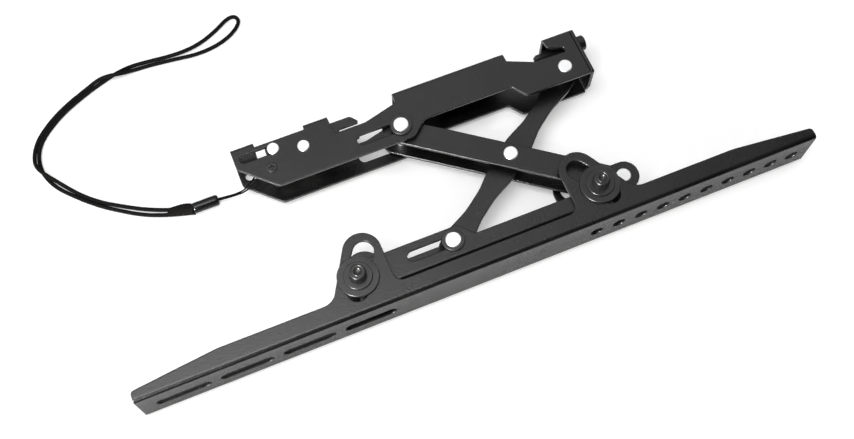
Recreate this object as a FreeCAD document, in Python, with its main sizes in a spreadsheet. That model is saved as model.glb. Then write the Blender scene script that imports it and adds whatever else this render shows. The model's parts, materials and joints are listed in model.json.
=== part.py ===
import FreeCAD, Part
import Sketcher
import math
import os

# One arm of a tilting, pull-out wall bracket for a television, lying on its side.
# +X runs up the arm as it hangs, +Y points at the wall and +Z across its width.
# Sizes are in millimetres. X = 0 is the first round hole of the rail, Y = 0 is the
# rail's face against the television and Z = 0 is the middle of the arm's width.

os.makedirs("parts", exist_ok=True)
Vector = FreeCAD.Vector
doc = FreeCAD.newDocument("tilting_bracket_arm")
sheet = doc.addObject("Spreadsheet::Sheet", "Sizes")

driving = {
    # sheet metal
    "steel": 2.0,
    "bend_outside": 2.6,
    "bend_inside": 0.8,
    # television rail
    "rail_low_end": -286.0,
    "rail_high_end": 147.5,
    "rail_depth": 12.3,
    "rail_waist_depth": 10.6,
    "rail_end_depth": 6.8,
    "rail_taper": 52.0,
    "rail_side_gap": 0.9,
    "rail_wall_stock": 60.0,
    "hole_radius": 4.25,
    "hole_pitch": 15.0,
    "hole_count": 10,
    "rail_slot_pitch": 38.0,
    "rail_slot_length": 32.6,
    "rail_slot_count": 4,
    "first_rail_slot": -260.2,
    # tilt
    "tilt_centre_x": -67.7,
    "tilt_centre_y": -16.0,
    "bolt_half_span": 77.6,
    "bolt_line_y": 21.7,
    "arc_reach_up": 11.0,
    "arc_reach_down": 5.7,
    "lobe_radius": 11.6,
    "lobe_half_span": 69.8,
    "lobe_above_bolt": 14.2,
    "lobe_lean": 60.6,
    "bush_radius": 6.0,
    "bush_clearance": 0.25,
    # channel on the wall side; a drop is measured down from its back
    "channel_width": 26.4,
    "channel_low_end": -188.4,
    "channel_high_end": 42.9,
    "channel_back": 129.4,
    "edge_drop": 34.0,
    "recess_drop": 24.7,
    "recess_low_x": -79.5,
    "recess_high_x": -3.8,
    "end_corner_drop": 14.1,
    "low_edge_run": 20.6,
    "end_web_length": 14.0,
    "web_gap_end": 47.2,
    "web_gap_drop": 3.8,
    "hook_from": 62.6,
    "hook_floor_end": 83.6,
    "hook_to": 106.8,
    "hook_drop": 13.45,
    "hook_slope_drop": 7.7,
    "upper_gap_low_x": -6.4,
    "upper_gap_high_x": 21.1,
    "upper_gap_drop": 14.4,
    "end_gap": 0.5,
    "end_chamfer": 6.7,
    # channel on the rail side
    "bracket_web_y": 11.5,
    "bracket_top": 31.2,
    "bracket_end_radius": 8.6,
    "bracket_neck_x": -4.0,
    "bracket_dip_low_x": -70.8,
    # scissor
    "pivot_x": 27.0,
    "wall_line_drop": 24.0,
    "tilt_line_y": 22.8,
    "slide_x": -85.0,
    "slide_travel_end": -113.9,
    "link_width": 18.4,
    "link_half_height": 8.1,
    "link_offset": 1.5,
    "link_low_reach": 11.6,
    "link_web_from": 17.0,
    "link_web_to": 48.0,
    "bar_thickness": 3.0,
    "bar_end_radius": 8.4,
    "bar_end_flat": 8.0,
    "bar_middle_flat": 11.0,
    "bar_taper": 17.0,
    "bar_waist": 5.6,
    # rivets and pins
    "pivot_radius": 2.5,
    "slide_radius": 3.4,
    "pivot_play": 0.06,
    "slide_play": 0.1,
    "face_gap": 0.1,
    "head_radius": 4.5,
    "head_height": 1.0,
    "slide_washer_radius": 6.75,
    "slide_washer_height": 1.4,
    "spacer_radius": 5.0,
    # clamping bolts of the tilt
    "clamp_washer_radius": 12.4,
    "clamp_washer_height": 1.6,
    "collar_radius": 8.5,
    "collar_height": 1.4,
    "bolt_head_radius": 5.1,
    "bolt_head_height": 6.3,
    "bolt_radius": 3.0,
    "hex_key": 5.0,
    "hex_depth": 3.6,
    "nut_radius": 5.4,
    "pin_head_height": 1.8,
    # latch
    "latch_rivet_x": -145.4,
    "latch_rivet_drop": 14.3,
    "latch_pin_x": -163.3,
    "latch_pin_drop": 9.2,
    "latch_pin_radius": 2.7,
    "latch_travel": 18.0,
    "latch_side_play": 0.2,
    "latch_head_radius": 3.8,
    "latch_tab_low_x": -121.0,
    "latch_tab_high_x": -108.6,
    "latch_tab_drop": 10.7,
    "latch_web_low_x": -138.0,
    "latch_web_high_x": -128.0,
    "latch_post_x": -168.1,
    "latch_post_drop": 20.8,
    "latch_post_radius": 1.5,
    "post_head_radius": 3.4,
    "post_head_height": 0.6,
    "post_cross_width": 1.0,
    "post_cross_depth": 1.4,
    "spring_radius": 2.4,
    "spring_wire": 0.45,
    "spring_turns": 9,
    # height screw
    "screw_drop": 5.5,
    "screw_radius": 2.5,
    "screw_tip_x": 15.2,
    "screw_point_radius": 1.5,
    "screw_point_length": 1.3,
    "screw_head_x": 45.7,
    "screw_head_radius": 5.0,
    "screw_head_height": 5.2,
    # pull cord of the latch
    "loop_radius": 0.5,
    "sleeve_radius": 3.3,
    "sleeve_length": 17.4,
    "sleeve_from_pin": -41.3,
    "sleeve_below_pin": 6.6,
    "strap_radius": 1.3,
}
for row, (alias, value) in enumerate(driving.items(), start=1):
    sheet.set("A%d" % row, alias)
    sheet.set("B%d" % row, str(value))
    sheet.setAlias("B%d" % row, alias)
doc.recompute()


def size(alias):
    return float(sheet.get(alias))


steel = size("steel")
channel_half = size("channel_width") / 2
channel_inside = channel_half - steel
rail_inside = channel_half + size("rail_side_gap")
rail_half = rail_inside + steel
link_half = size("link_width") / 2
link_inside = link_half - steel
bar_half = size("bar_thickness") / 2
face_gap = size("face_gap")
pivot_x = size("pivot_x")
slide_x = size("slide_x")
back = size("channel_back")
wall_line = back - size("wall_line_drop")
tilt_line = size("tilt_line_y")
arm_length = math.hypot(pivot_x - slide_x, wall_line - tilt_line)
arm_angle = math.degrees(math.atan2(wall_line - tilt_line, pivot_x - slide_x))
centre_x = (pivot_x + slide_x) / 2
centre_y = (wall_line + tilt_line) / 2
tilt_x = size("tilt_centre_x")
tilt_y = size("tilt_centre_y")
bolt_y = size("bolt_line_y")
bolt_span = size("bolt_half_span")
bolt_angle = math.degrees(math.atan2(bolt_y - tilt_y, bolt_span))
arc_radius = math.hypot(bolt_span, bolt_y - tilt_y)
arc_half_width = size("bush_radius") + size("bush_clearance")
slot_half = size("slide_radius") + size("slide_play")
latch_pin_x = size("latch_pin_x")
latch_pin_y = back - size("latch_pin_drop")
latch_rivet_y = back - size("latch_rivet_drop")
latch_post_y = back - size("latch_post_drop")
sub_parts = []


def new_body(label):
    body = doc.addObject("PartDesign::Body", label)
    body.Label = label
    sub_parts.append(body)
    return body


def new_sketch(body, role, offset=0.0):
    plane = next(item for item in body.Origin.OriginFeatures if item.Role == role)
    sketch = body.newObject("Sketcher::SketchObject", body.Name + "_sketch")
    sketch.AttachmentSupport = [(plane, "")]
    sketch.MapMode = "FlatFace"
    sketch.AttachmentOffset = FreeCAD.Placement(Vector(0, 0, offset), FreeCAD.Rotation())
    return sketch


# Draws a closed outline through its corners; a third number rounds that corner.
def draw_outline(sketch, corners):
    count = len(corners)
    starts = []
    ends = []
    arcs = []
    for index, corner in enumerate(corners):
        point = Vector(corner[0], corner[1], 0)
        before = Vector(corners[index - 1][0], corners[index - 1][1], 0)
        after = Vector(corners[(index + 1) % count][0], corners[(index + 1) % count][1], 0)
        if len(corner) < 3:
            starts.append(point)
            ends.append(point)
            continue
        back = (before - point).normalize()
        ahead = (after - point).normalize()
        half_turn = back.getAngle(ahead) / 2
        reach = corner[2] / math.tan(half_turn)
        middle_line = (back + ahead).normalize()
        middle = point + middle_line * (corner[2] / math.sin(half_turn) - corner[2])
        starts.append(point + back * reach)
        ends.append(point + ahead * reach)
        arcs.append(Part.Arc(starts[-1], middle, ends[-1]))
    for index in range(count):
        following = starts[(index + 1) % count]
        if ends[index].distanceToPoint(following) > 0.001:
            sketch.addGeometry(Part.LineSegment(ends[index], following))
    for arc in arcs:
        sketch.addGeometry(arc)


def draw_circle(sketch, x, y, radius):
    sketch.addGeometry(Part.Circle(Vector(x, y, 0), Vector(0, 0, 1), radius))


# A straight slot given by the centres of its two round ends.
def draw_slot(sketch, x_from, x_to, y, half_width):
    draw_outline(sketch, [
        (x_from - half_width, y - half_width, half_width),
        (x_to + half_width, y - half_width, half_width),
        (x_to + half_width, y + half_width, half_width),
        (x_from - half_width, y + half_width, half_width),
    ])


# A slot that follows a circle about the tilt centre between two angles.
def draw_arc_slot(sketch, radius, half_width, angle_from, angle_to):
    def on_circle(distance, angle):
        turn = math.radians(angle)
        return Vector(tilt_x + distance * math.cos(turn), tilt_y + distance * math.sin(turn), 0)

    def end_cap(angle, outward):
        turn = math.radians(angle + outward)
        tangent = Vector(-math.sin(turn), math.cos(turn), 0) * math.copysign(half_width, outward)
        tip = on_circle(radius, angle) + tangent
        return Part.Arc(on_circle(radius - half_width, angle), tip, on_circle(radius + half_width, angle))

    middle = (angle_from + angle_to) / 2
    for side in (-1, 1):
        distance = radius + side * half_width
        first = on_circle(distance, angle_from)
        sketch.addGeometry(Part.Arc(first, on_circle(distance, middle), on_circle(distance, angle_to)))
    sketch.addGeometry(end_cap(angle_from, -0.0001))
    sketch.addGeometry(end_cap(angle_to, 0.0001))


def add_pad(body, sketch, length, side="One side", backwards=False):
    pad = body.newObject("PartDesign::Pad", body.Name + "_pad")
    pad.Profile = sketch
    pad.setExpression("Length", length)
    pad.SideType = side
    pad.Reversed = backwards
    doc.recompute()
    return pad


def add_pocket(body, sketch):
    before = body.Shape.Volume
    pocket = body.newObject("PartDesign::Pocket", body.Name + "_pocket")
    pocket.Profile = sketch
    pocket.Type = "ThroughAll"
    pocket.SideType = "Symmetric"
    doc.recompute()
    if body.Shape.Volume >= before:
        raise RuntimeError(body.Name + ": a pocket cut nothing")
    return pocket


# Pads a folded channel along X: a web between two walls, open on one side.
def add_channel(body, x_from, length, half_width, web_outside, wall_top):
    towards = math.copysign(1, wall_top - web_outside)
    web_inside = web_outside + towards * steel
    inside = half_width - steel
    section = new_sketch(body, "YZ_Plane", x_from)
    draw_outline(section, [
        (web_outside, -half_width, size("bend_outside")),
        (wall_top, -half_width),
        (wall_top, -inside),
        (web_inside, -inside, size("bend_inside")),
        (web_inside, inside, size("bend_inside")),
        (wall_top, inside),
        (wall_top, half_width),
        (web_outside, half_width, size("bend_outside")),
    ])
    return add_pad(body, section, length)


# Trims both walls of a channel to one side outline.
def trim_to(body, outline):
    margin = size("rail_wall_stock")
    frame = new_sketch(body, "XY_Plane")
    xs = [corner[0] for corner in outline]
    ys = [corner[1] for corner in outline]
    draw_outline(frame, [
        (min(xs) - margin, min(ys) - margin),
        (max(xs) + margin, min(ys) - margin),
        (max(xs) + margin, max(ys) + margin),
        (min(xs) - margin, max(ys) + margin),
    ])
    draw_outline(frame, outline)
    return add_pocket(body, frame)


# A turned piece from its half section, given as radius and height along the axis.
def turned(label, half_section, x, y, z=0.0, along_x=False):
    body = new_body(label)
    sketch = new_sketch(body, "XZ_Plane")
    draw_outline(sketch, half_section)
    turn = body.newObject("PartDesign::Revolution", body.Name + "_turn")
    turn.Profile = sketch
    turn.ReferenceAxis = (sketch, ["V_Axis"])
    turn.Angle = 360
    doc.recompute()
    lean = FreeCAD.Rotation(Vector(0, 1, 0), 90) if along_x else FreeCAD.Rotation()
    body.Placement = FreeCAD.Placement(Vector(x, y, z), lean)
    return body


def ring(label, x, y, outside, bore, z_from, z_to):
    edge = min(0.25, (z_to - z_from) / 4)
    return turned(label, [
        (bore, z_from),
        (outside - edge, z_from),
        (outside, z_from + edge),
        (outside, z_to - edge),
        (outside - edge, z_to),
        (bore, z_to),
    ], x, y)


# Half section of a rivet: two low heads on a shank.
def rivet_section(shank, head, seat, height):
    rim = height * 0.6
    rise = seat + height
    return [
        (0, -rise),
        (head - 0.5, -rise),
        (head, -seat - rim),
        (head, -seat),
        (shank, -seat),
        (shank, seat),
        (head, seat),
        (head, seat + rim),
        (head - 0.5, rise),
        (0, rise),
    ]


def rivet(label, x, y, shank, head, seat, height):
    return turned(label, rivet_section(shank, head, seat, height), x, y)


def make_wall_channel():
    low = size("channel_low_end")
    high = size("channel_high_end")
    edge = back - size("edge_drop")
    recess = back - size("recess_drop")
    clear = back + 5
    gap_floor = back - size("web_gap_drop")
    hook_floor = back - size("hook_drop")
    upper_floor = back - size("upper_gap_drop")
    gap_low_x = size("upper_gap_low_x")
    gap_high_x = size("upper_gap_high_x")
    walls_end = high - steel - size("end_gap")
    body = new_body("wall_channel")
    add_channel(body, low, "Sizes.channel_high_end - Sizes.channel_low_end", channel_half, back, edge)
    trim_to(body, [
        (low, clear),
        (low + size("end_web_length"), clear),
        (low + size("end_web_length") + 0.9, gap_floor),
        (low + size("web_gap_end"), gap_floor),
        (low + size("web_gap_end"), clear),
        (low + size("hook_from"), clear),
        (low + size("hook_from") + 1, hook_floor, 1.5),
        (low + size("hook_floor_end"), hook_floor, 6),
        (low + size("hook_to") - 0.8, back - size("hook_slope_drop"), 1),
        (low + size("hook_to"), clear),
        (gap_low_x, clear),
        (gap_low_x + 0.4, back - 6.5, 1),
        (gap_low_x + 16, upper_floor + 0.9, 2),
        (gap_high_x + 10.8, upper_floor, 1.4),
        (gap_high_x + 11.3, upper_floor + 3.2, 1.4),
        (gap_high_x + 1.3, back - 7.2, 1.2),
        (gap_high_x, clear),
        (walls_end, clear),
        (walls_end, edge),
        (size("recess_high_x"), edge, 4),
        (size("recess_high_x") - 6.8, recess, 3),
        (size("recess_low_x") + 10.5, recess, 5),
        (size("recess_low_x"), edge, 5),
        (low + size("low_edge_run"), edge, 4),
        (low, back - size("end_corner_drop"), 3),
    ])
    plate = new_sketch(body, "YZ_Plane", high - steel)
    draw_outline(plate, [
        (edge, size("end_chamfer") - channel_half),
        (edge + 1.8, -channel_half),
        (back, -channel_half, size("bend_outside")),
        (back, channel_half, size("bend_outside")),
        (edge, channel_half, 1.5),
    ])
    add_pad(body, plate, "Sizes.steel")
    fold_half = channel_half - size("bend_outside")
    fold = new_sketch(body, "YZ_Plane", walls_end)
    draw_outline(fold, [
        (back - steel, -fold_half),
        (back, -fold_half),
        (back, fold_half),
        (back - steel, fold_half),
    ])
    add_pad(body, fold, "Sizes.end_gap + Sizes.steel")
    slots = new_sketch(body, "XY_Plane")
    latch_low_x = latch_pin_x - size("latch_travel") - 0.8
    latch_slot_half = size("latch_pin_radius") + size("slide_play")
    draw_slot(slots, latch_low_x, latch_pin_x + 0.5, latch_pin_y, latch_slot_half)
    draw_slot(slots, size("slide_travel_end") + slot_half, slide_x + 0.5, wall_line, slot_half)
    draw_circle(slots, pivot_x, wall_line, size("pivot_radius"))
    draw_circle(slots, size("latch_rivet_x"), latch_rivet_y, size("pivot_radius"))
    draw_circle(slots, size("latch_post_x"), latch_post_y, size("latch_post_radius"))
    add_pocket(body, slots)
    screw_hole = new_sketch(body, "YZ_Plane", high)
    draw_circle(screw_hole, back - size("screw_drop"), 0, size("screw_radius") + size("pivot_play"))
    pocket = body.newObject("PartDesign::Pocket", "wall_channel_screw_hole")
    pocket.Profile = screw_hole
    pocket.setExpression("Length", "2 * Sizes.steel")
    pocket.SideType = "Symmetric"
    doc.recompute()
    return body


# Two corners and the round top of one lobe of the rail; side is -1 low, 1 high.
def lobe_corners(side):
    radius = size("lobe_radius")
    lean = math.radians(size("lobe_lean"))
    lobe_x = tilt_x + side * size("lobe_half_span")
    lobe_y = bolt_y + size("lobe_above_bolt")
    outer_x = lobe_x + side * radius * math.sin(lean)
    outer_y = lobe_y + radius * math.cos(lean)
    inner_x = lobe_x - side * radius
    apex_y = outer_y + (outer_x - inner_x) * side * math.tan(lean)
    foot_x = outer_x + side * (outer_y - size("rail_depth")) / math.tan(lean)
    outer_foot = (foot_x, size("rail_depth"), 10)
    inner_foot = (inner_x, size("rail_waist_depth"), 6)
    apex = (inner_x, apex_y, radius)
    if side < 0:
        return [outer_foot, apex, inner_foot]
    return [inner_foot, apex, outer_foot]


def make_tv_rail():
    low = size("rail_low_end")
    high = size("rail_high_end")
    body = new_body("tv_rail")
    stock = size("rail_wall_stock")
    add_channel(body, low, "Sizes.rail_high_end - Sizes.rail_low_end", rail_half, 0.0, stock)
    under = -size("rail_end_depth")
    trim_to(body, [
        (low, under),
        (low, size("rail_end_depth"), 2.5),
        (low + size("rail_taper"), size("rail_depth"), 30),
    ] + lobe_corners(-1) + lobe_corners(1) + [
        (high - size("rail_taper"), size("rail_depth"), 30),
        (high, size("rail_end_depth"), 2.5),
        (high, under),
    ])
    arcs = new_sketch(body, "XY_Plane")
    up = size("arc_reach_up")
    down = size("arc_reach_down")
    draw_arc_slot(arcs, arc_radius, arc_half_width, bolt_angle - down, bolt_angle + up)
    draw_arc_slot(arcs, arc_radius, arc_half_width, 180 - bolt_angle - up, 180 - bolt_angle + down)
    add_pocket(body, arcs)
    holes = new_sketch(body, "XZ_Plane")
    for index in range(int(size("hole_count"))):
        draw_circle(holes, index * size("hole_pitch"), 0, size("hole_radius"))
    half = size("rail_slot_length") / 2 - size("hole_radius")
    for index in range(int(size("rail_slot_count"))):
        middle = size("first_rail_slot") + index * size("rail_slot_pitch")
        draw_slot(holes, middle - half, middle + half, 0, size("hole_radius"))
    before = body.Shape.Volume
    pocket = body.newObject("PartDesign::Pocket", "tv_rail_holes")
    pocket.Profile = holes
    pocket.setExpression("Length", "4 * Sizes.steel")
    pocket.SideType = "Symmetric"
    doc.recompute()
    if body.Shape.Volume >= before:
        raise RuntimeError("the rail's holes cut nothing")
    return body


def make_tilt_bracket():
    web = size("bracket_web_y")
    ear = size("bracket_end_radius")
    top = size("bracket_top")
    low_ear = tilt_x - bolt_span
    high_end = pivot_x + ear + 1
    under = tilt_line - ear - 0.4
    over = tilt_line + ear + 0.4
    dip = tilt_line - 0.5
    neck = size("bracket_neck_x")
    dip_low_x = size("bracket_dip_low_x")
    body = new_body("tilt_bracket")
    reach = "Sizes.pivot_x - Sizes.tilt_centre_x + Sizes.bolt_half_span"
    length = reach + " + 2 * Sizes.bracket_end_radius + 1"
    add_channel(body, low_ear - ear, length, channel_half, web, over + 1)
    trim_to(body, [
        (low_ear - ear, bolt_y - ear, ear),
        (low_ear + ear, bolt_y - ear),
        (low_ear + ear + 6, web - 3),
        (neck, web - 3),
        (neck + 6, under),
        (high_end, under, ear),
        (high_end, over, ear),
        (neck + 6, over, 5),
        (neck - 1.5, dip, 5),
        (dip_low_x, dip, 4),
        (dip_low_x - 8.5, top, 3),
        (low_ear - ear, top, ear),
    ])
    holes = new_sketch(body, "XY_Plane")
    draw_slot(holes, size("slide_travel_end") + slot_half, slide_x + 0.5, tilt_line, slot_half)
    draw_circle(holes, pivot_x, tilt_line, size("pivot_radius"))
    draw_circle(holes, low_ear, bolt_y, size("bolt_radius"))
    draw_circle(holes, tilt_x + bolt_span, bolt_y, size("bolt_radius"))
    add_pocket(body, holes)
    return body


# Turns a point given along and across a link into the arm's frame.
def along_link(start_x, start_y, angle, along, across):
    turn = math.radians(angle)
    x = start_x + along * math.cos(turn) - across * math.sin(turn)
    y = start_y + along * math.sin(turn) + across * math.cos(turn)
    return x, y


def link_outline(start_x, start_y, angle, corners):
    outline = []
    for corner in corners:
        x, y = along_link(start_x, start_y, angle, corner[0], corner[1])
        outline.append((x, y) + tuple(corner[2:]))
    return outline


# The outer link is a folded channel: its web joins the walls only on the lower half,
# on the side that the inner link never reaches.
def make_outer_link():
    body = new_body("outer_link")
    half = size("link_half_height")
    offset = size("link_offset")
    angle = -arm_angle
    low_end = -size("link_low_reach")
    outside = new_sketch(body, "XY_Plane")
    draw_outline(outside, link_outline(slide_x, wall_line, angle, [
        (low_end, -half - offset, half),
        (arm_length + half, -half - offset, half),
        (arm_length + half, half - offset, half),
        (low_end, half - offset, half),
    ]))
    add_pad(body, outside, "Sizes.link_width", "Symmetric")
    inside = new_sketch(body, "XY_Plane")
    draw_outline(inside, link_outline(slide_x, wall_line, angle, [
        (-2 * half, -2 * half),
        (arm_length + 2 * half, -2 * half),
        (arm_length + 2 * half, 2 * half),
        (size("link_web_to"), 2 * half),
        (size("link_web_to"), half - offset - steel, 2),
        (size("link_web_from"), half - offset - steel, 2),
        (size("link_web_from"), 2 * half),
        (-2 * half, 2 * half),
    ]))
    gap = body.newObject("PartDesign::Pocket", "outer_link_inside")
    gap.Profile = inside
    gap.setExpression("Length", "Sizes.link_width - 2 * Sizes.steel")
    gap.SideType = "Symmetric"
    doc.recompute()
    holes = new_sketch(body, "XY_Plane")
    draw_circle(holes, slide_x, wall_line, size("slide_radius"))
    draw_circle(holes, centre_x, centre_y, size("pivot_radius"))
    draw_circle(holes, pivot_x, tilt_line, size("pivot_radius") + size("pivot_play"))
    add_pocket(body, holes)
    return body


def make_inner_link():
    body = new_body("inner_link")
    end = size("bar_end_radius")
    waist = size("bar_waist")
    middle = arm_length / 2
    flat = size("bar_middle_flat")
    end_flat = size("bar_end_flat")
    taper = size("bar_taper")
    upper = [
        (arm_length + end, end, end),
        (arm_length - end_flat, end, 20),
        (arm_length - end_flat - taper, waist, 40),
        (middle + flat + taper, waist, 40),
        (middle + flat, end, 20),
        (middle - flat, end, 20),
        (middle - flat - taper, waist, 40),
        (end_flat + taper, waist, 40),
        (end_flat, end, 20),
        (-end, end, end),
    ]
    lower = [(x, -y, radius) for x, y, radius in reversed(upper)]
    plate = new_sketch(body, "XY_Plane")
    draw_outline(plate, link_outline(slide_x, tilt_line, arm_angle, upper + lower))
    add_pad(body, plate, "Sizes.bar_thickness", "Symmetric")
    holes = new_sketch(body, "XY_Plane")
    draw_circle(holes, slide_x, tilt_line, size("slide_radius"))
    draw_circle(holes, centre_x, centre_y, size("pivot_radius") + size("pivot_play"))
    draw_circle(holes, pivot_x, wall_line, size("pivot_radius") + size("pivot_play"))
    add_pocket(body, holes)
    return body


def make_pivots():
    pin = size("pivot_radius")
    slide = size("slide_radius")
    head = size("head_radius")
    tall = size("head_height")
    spacer = size("spacer_radius")
    washer = size("slide_washer_radius")
    seat = channel_half + face_gap
    top = seat + size("slide_washer_height")
    run_face = channel_inside - face_gap
    link_face = link_half + face_gap
    bar_face = bar_half + face_gap
    rivet("wall_pivot_rivet", pivot_x, wall_line, pin, head, channel_half, tall)
    rivet("centre_rivet", centre_x, centre_y, pin, head, link_half, tall)
    rivet("tilt_pivot_rivet", pivot_x, tilt_line, pin, head, channel_half, size("rail_side_gap") * 0.78)
    rivet("wall_slide_rivet", slide_x, wall_line, slide, head + 0.25, top, tall)
    rivet("tilt_slide_rivet", slide_x, tilt_line, slide, head + 0.25, top, tall)
    for name, side in (("near", 1), ("far", -1)):
        def pair(label, x, y, outside, bore, z_from, z_to):
            low, high = sorted((side * z_from, side * z_to))
            ring(name + "_" + label, x, y, outside, bore, low, high)

        pair("wall_slide_washer", slide_x, wall_line, washer, slide, seat, top)
        pair("tilt_slide_washer", slide_x, tilt_line, washer, slide, seat, top)
        pair("wall_slide_spacer", slide_x, wall_line, spacer + 1, slide, link_half, run_face)
        pair("tilt_slide_spacer", slide_x, tilt_line, spacer, slide, bar_half, run_face)
        pair("tilt_pivot_spacer", pivot_x, tilt_line, spacer + 1, pin, link_face, channel_inside)
        pair("wall_pivot_spacer", pivot_x, wall_line, spacer, pin, bar_face, channel_inside)
        pair("centre_spacer", centre_x, centre_y, spacer, pin, bar_face, link_inside)


def make_tilt_bolt(label, x):
    foot = rail_half + size("clamp_washer_height") + size("collar_height")
    top = foot + size("bolt_head_height")
    radius = size("bolt_head_radius")
    shank = size("bolt_radius")
    body = turned(label, [
        (0, channel_inside - steel + 0.3),
        (shank - 0.4, channel_inside - steel + 0.3),
        (shank, channel_inside - steel + 0.7),
        (shank, foot),
        (radius, foot),
        (radius, top - 0.5),
        (radius - 0.5, top),
        (0, top),
    ], x, bolt_y)
    key = size("hex_key") / math.sqrt(3)
    socket = new_sketch(body, "XY_Plane", top)
    corners = []
    for index in range(6):
        turn = math.radians(60 * index)
        corners.append((key * math.cos(turn), key * math.sin(turn)))
    draw_outline(socket, corners)
    pocket = body.newObject("PartDesign::Pocket", label + "_socket")
    pocket.Profile = socket
    pocket.setExpression("Length", "Sizes.hex_depth")
    doc.recompute()
    return body


def make_tilt_hardware():
    bolt = size("bolt_radius")
    bush_low = channel_half
    bush_high = rail_half - 0.05
    washer_low = rail_half + 0.05
    washer_top = rail_half + size("clamp_washer_height")
    washer = size("clamp_washer_radius")
    for name, x in (("lower", tilt_x - bolt_span), ("upper", tilt_x + bolt_span)):
        make_tilt_bolt(name + "_tilt_bolt", x)
        ring(name + "_clamp_washer", x, bolt_y, washer, bolt, washer_low, washer_top)
        collar_top = washer_top + size("collar_height")
        ring(name + "_bolt_collar", x, bolt_y, size("collar_radius"), bolt, washer_top, collar_top)
        ring(name + "_slot_bush", x, bolt_y, size("bush_radius"), bolt, bush_low, bush_high)
        ring(name + "_clinch_nut", x, bolt_y, size("nut_radius"), bolt, link_half + 0.3, channel_inside)
        make_guide_pin(name + "_guide_pin", x)


# The shouldered pin that carries the far wall of the rail in its arc slot.
def make_guide_pin(label, x):
    shank = size("bolt_radius")
    bush = size("bush_radius")
    head = size("collar_radius")
    seat = rail_half + face_gap
    turned(label, [
        (0, -channel_inside),
        (shank, -channel_inside),
        (shank, -channel_half),
        (bush, -channel_half),
        (bush, -seat),
        (head, -seat),
        (head, -seat - size("pin_head_height") + 0.5),
        (head - 0.5, -seat - size("pin_head_height")),
        (0, -seat - size("pin_head_height")),
    ], x, bolt_y)


# The latch is a folded channel too: its walls lie against the wall channel's walls,
# and a short web with a turned-down tab takes the spring.
def make_latch():
    rivet_x = size("latch_rivet_x")
    half = channel_inside - size("latch_side_play")
    travel = size("latch_travel")
    low = latch_pin_x - 5.0
    top = latch_pin_y + 4.4
    bottom = latch_post_y + 2.1
    tab_low_x = size("latch_tab_low_x")
    tab_high_x = size("latch_tab_high_x")
    hook_under = back - size("latch_tab_drop")
    body = new_body("latch_plate")
    outside = new_sketch(body, "XY_Plane")
    draw_outline(outside, [
        (low, bottom, 3),
        (rivet_x - 3.5, bottom),
        (rivet_x - 2.5, bottom - 1.4),
        (tab_low_x - 5.5, bottom - 1.4, 4),
        (tab_low_x, hook_under, 1),
        (tab_high_x, hook_under, 0.6),
        (tab_high_x + 0.3, hook_under + 1.4, 0.5),
        (tab_high_x - 3.2, top, 3),
        (low, top, 3),
    ])
    width = "Sizes.channel_width - 2 * Sizes.latch_side_play"
    add_pad(body, outside, width + " - 2 * Sizes.steel", "Symmetric")
    web_low = size("latch_web_low_x")
    web_high = size("latch_web_high_x")
    web_top = bottom + 0.6
    clear = 5.0
    inside = new_sketch(body, "XY_Plane")
    draw_outline(inside, [
        (low - clear, bottom - clear),
        (web_low, bottom - clear),
        (web_low, web_top),
        (web_high, web_top),
        (web_high, bottom - clear),
        (tab_high_x + clear, bottom - clear),
        (tab_high_x + clear, top + clear),
        (low - clear, top + clear),
    ])
    gap = body.newObject("PartDesign::Pocket", "latch_plate_inside")
    gap.Profile = inside
    gap.setExpression("Length", width + " - 4 * Sizes.steel")
    gap.SideType = "Symmetric"
    doc.recompute()
    tab_half = 4.5
    tab_foot = latch_post_y - tab_half - 0.1
    tab = new_sketch(body, "YZ_Plane", web_low)
    draw_outline(tab, [
        (tab_foot, -tab_half, 2),
        (web_top, -tab_half),
        (web_top, tab_half),
        (tab_foot, tab_half, 2),
    ])
    add_pad(body, tab, "Sizes.steel")
    holes = new_sketch(body, "XY_Plane")
    draw_slot(holes, rivet_x - 0.3, rivet_x + travel + 0.3, latch_rivet_y, size("pivot_radius") + 0.2)
    draw_circle(holes, latch_pin_x, latch_pin_y, size("latch_pin_radius"))
    add_pocket(body, holes)
    head = size("latch_head_radius")
    tall = size("head_height")
    pin_seat = channel_half + face_gap
    rivet("latch_pin", latch_pin_x, latch_pin_y, size("latch_pin_radius"), head, pin_seat, tall)
    rivet("latch_guide_rivet", rivet_x, latch_rivet_y, size("pivot_radius"), head, channel_half, tall)
    post_x = size("latch_post_x")
    make_spring_post(post_x)
    make_spring(post_x + size("latch_post_radius"), web_low, latch_post_y)


# The post is a screw right across the channel, with a low cross-recessed head.
def make_spring_post(x):
    head = size("post_head_height")
    shank = size("latch_post_radius")
    body = rivet("spring_post", x, latch_post_y, shank, size("post_head_radius"), channel_half, head)
    arm = size("post_head_radius") * 0.6
    half = size("post_cross_width") / 2
    cross = new_sketch(body, "XY_Plane", channel_half + head)
    draw_outline(cross, [
        (-arm, -half),
        (-half, -half),
        (-half, -arm),
        (half, -arm),
        (half, -half),
        (arm, -half),
        (arm, half),
        (half, half),
        (half, arm),
        (-half, arm),
        (-half, half),
        (-arm, half),
    ])
    pocket = body.newObject("PartDesign::Pocket", "spring_post_cross")
    pocket.Profile = cross
    pocket.setExpression("Length", "Sizes.post_cross_depth")
    doc.recompute()


def make_spring(x_from, x_to, y):
    wire = size("spring_wire")
    radius = size("spring_radius")
    length = x_to - x_from - 2 * wire
    helix = Part.makeHelix(length / size("spring_turns"), length, radius)
    section = Part.Wire(Part.makeCircle(wire, Vector(radius, 0, 0), Vector(0, 1, 0)))
    coil = Part.Wire(helix.Edges).makePipeShell([section], True, True)
    spring = doc.addObject("Part::Feature", "latch_spring")
    spring.Label = "latch_spring"
    spring.Shape = coil
    lean = FreeCAD.Rotation(Vector(0, 1, 0), 90)
    spring.Placement = FreeCAD.Placement(Vector(x_from + wire, y, 0), lean)
    sub_parts.append(spring)


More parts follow.
